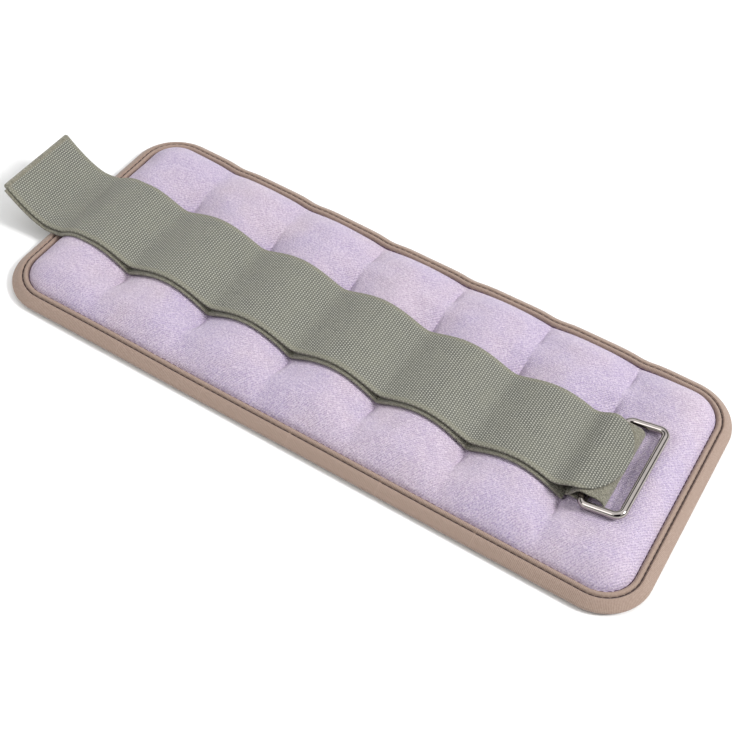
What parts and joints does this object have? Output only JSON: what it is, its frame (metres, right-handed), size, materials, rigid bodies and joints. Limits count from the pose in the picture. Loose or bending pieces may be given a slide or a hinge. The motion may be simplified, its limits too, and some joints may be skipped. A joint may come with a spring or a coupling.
{
  "type": "ankle cuff weight",
  "caption": "Flat quilted ankle weight with filled pockets, bound edge, hook-and-loop strap along its middle and a wire ring to pass the strap through.",
  "frame": {"origin": "under the middle of the cuff, on the face that lies against the leg", "axes": "+X along the cuff towards the ring, +Y across it, +Z out of the quilted face"},
  "size_m": [0.386, 0.15, 0.0248],
  "materials": {
    "face_cloth": "fine lilac knit with a soft nap",
    "back_cloth": "lilac knit, guessed the same as the face",
    "edge_tape": "taupe ribbed binding tape",
    "hook_tape": "sage-grey woven hook tape",
    "loop_pile": "darker grey-green looped pile",
    "nickel": "bright dark nickel wire",
    "bag_nylon": "thin white nylon",
    "iron_grit": "dark grit",
    "thread": "dark brown sewing thread"
  },
  "bodies": {
    "pocket_1": {"face_panel_1": "face_cloth", "back_panel_1": "back_cloth", "inner_bag_1": "bag_nylon", "iron_fill_1": "iron_grit", "loop_strip_1": "loop_pile", "binding_left": "edge_tape", "fold_seam": "thread"},
    "pocket_2": {"face_panel_2": "face_cloth", "back_panel_2": "back_cloth", "inner_bag_2": "bag_nylon", "iron_fill_2": "iron_grit", "loop_strip_2": "loop_pile", "binding_near_2": "edge_tape", "binding_far_2": "edge_tape"},
    "pocket_3": {"face_panel_3": "face_cloth", "back_panel_3": "back_cloth", "inner_bag_3": "bag_nylon", "iron_fill_3": "iron_grit", "loop_strip_3": "loop_pile", "binding_near_3": "edge_tape", "binding_far_3": "edge_tape"},
    "pocket_4": {"face_panel_4": "face_cloth", "back_panel_4": "back_cloth", "inner_bag_4": "bag_nylon", "iron_fill_4": "iron_grit", "loop_strip_4": "loop_pile", "binding_near_4": "edge_tape", "binding_far_4": "edge_tape"},
    "pocket_5": {"face_panel_5": "face_cloth", "back_panel_5": "back_cloth", "inner_bag_5": "bag_nylon", "iron_fill_5": "iron_grit", "loop_strip_5": "loop_pile", "binding_near_5": "edge_tape", "binding_far_5": "edge_tape"},
    "pocket_6": {"face_panel_6": "face_cloth", "back_panel_6": "back_cloth", "inner_bag_6": "bag_nylon", "iron_fill_6": "iron_grit", "loop_strip_6": "loop_pile", "binding_near_6": "edge_tape", "binding_far_6": "edge_tape"},
    "pocket_7": {"face_panel_7": "face_cloth", "back_panel_7": "back_cloth", "inner_bag_7": "bag_nylon", "iron_fill_7": "iron_grit", "binding_right": "edge_tape", "ring_tab": "loop_pile"},
    "strap_1": {"hook_strap_1": "hook_tape"},
    "strap_2": {"hook_strap_2": "hook_tape"},
    "strap_3": {"hook_strap_3": "hook_tape"},
    "strap_4": {"hook_strap_4": "hook_tape"},
    "strap_5": {"hook_strap_5": "hook_tape"},
    "strap_6": {"hook_strap_6": "hook_tape"},
    "ring": {"ring": "nickel"}
  },
  "joints": [
    {"name": "cuff_curl", "type": "hinge", "parent": "pocket_1", "child": "pocket_2", "pos_m": [-0.125, 0, 0], "axis": [0, 1, 0], "range_deg": [0, 45]},
    {"name": "curl_2", "type": "hinge", "parent": "pocket_2", "child": "pocket_3", "pos_m": [-0.075, 0, 0], "axis": [0, 1, 0], "range_deg": [0, 45]},
    {"name": "curl_3", "type": "hinge", "parent": "pocket_3", "child": "pocket_4", "pos_m": [-0.025, 0, 0], "axis": [0, 1, 0], "range_deg": [0, 45]},
    {"name": "curl_4", "type": "hinge", "parent": "pocket_4", "child": "pocket_5", "pos_m": [0.025, 0, 0], "axis": [0, 1, 0], "range_deg": [0, 45]},
    {"name": "curl_5", "type": "hinge", "parent": "pocket_5", "child": "pocket_6", "pos_m": [0.075, 0, 0], "axis": [0, 1, 0], "range_deg": [0, 45]},
    {"name": "curl_6", "type": "hinge", "parent": "pocket_6", "child": "pocket_7", "pos_m": [0.125, 0, 0], "axis": [0, 1, 0], "range_deg": [0, 45]},
    {"name": "strap_open", "type": "hinge", "parent": "pocket_1", "child": "strap_1", "pos_m": [-0.2055, -0.005, 0.02385], "axis": [0, -1, 0], "range_deg": [0, 180]},
    {"name": "strap_curl_1", "type": "hinge", "parent": "strap_1", "child": "strap_2", "pos_m": [-0.125, 0, 0], "axis": [0, 1, 0], "range_deg": [0, 45]},
    {"name": "strap_curl_2", "type": "hinge", "parent": "strap_2", "child": "strap_3", "pos_m": [-0.075, 0, 0], "axis": [0, 1, 0], "range_deg": [0, 45]},
    {"name": "strap_curl_3", "type": "hinge", "parent": "strap_3", "child": "strap_4", "pos_m": [-0.025, 0, 0], "axis": [0, 1, 0], "range_deg": [0, 45]},
    {"name": "strap_curl_4", "type": "hinge", "parent": "strap_4", "child": "strap_5", "pos_m": [0.025, 0, 0], "axis": [0, 1, 0], "range_deg": [0, 45]},
    {"name": "strap_curl_5", "type": "hinge", "parent": "strap_5", "child": "strap_6", "pos_m": [0.075, 0, 0], "axis": [0, 1, 0], "range_deg": [0, 45]},
    {"name": "ring_swivel", "type": "hinge", "parent": "pocket_7", "child": "ring", "pos_m": [0.1335, -0.005, 0.0143], "axis": [0, -1, 0], "range_deg": [0, 150]}
  ],
  "couplings": [
    {"joint": "curl_2", "follows": "cuff_curl", "ratio": 1},
    {"joint": "curl_3", "follows": "cuff_curl", "ratio": 1},
    {"joint": "curl_4", "follows": "cuff_curl", "ratio": 1},
    {"joint": "curl_5", "follows": "cuff_curl", "ratio": 1},
    {"joint": "curl_6", "follows": "cuff_curl", "ratio": 1},
    {"joint": "strap_curl_1", "follows": "cuff_curl", "ratio": 1},
    {"joint": "strap_curl_2", "follows": "cuff_curl", "ratio": 1},
    {"joint": "strap_curl_3", "follows": "cuff_curl", "ratio": 1},
    {"joint": "strap_curl_4", "follows": "cuff_curl", "ratio": 1},
    {"joint": "strap_curl_5", "follows": "cuff_curl", "ratio": 1}
  ]
}
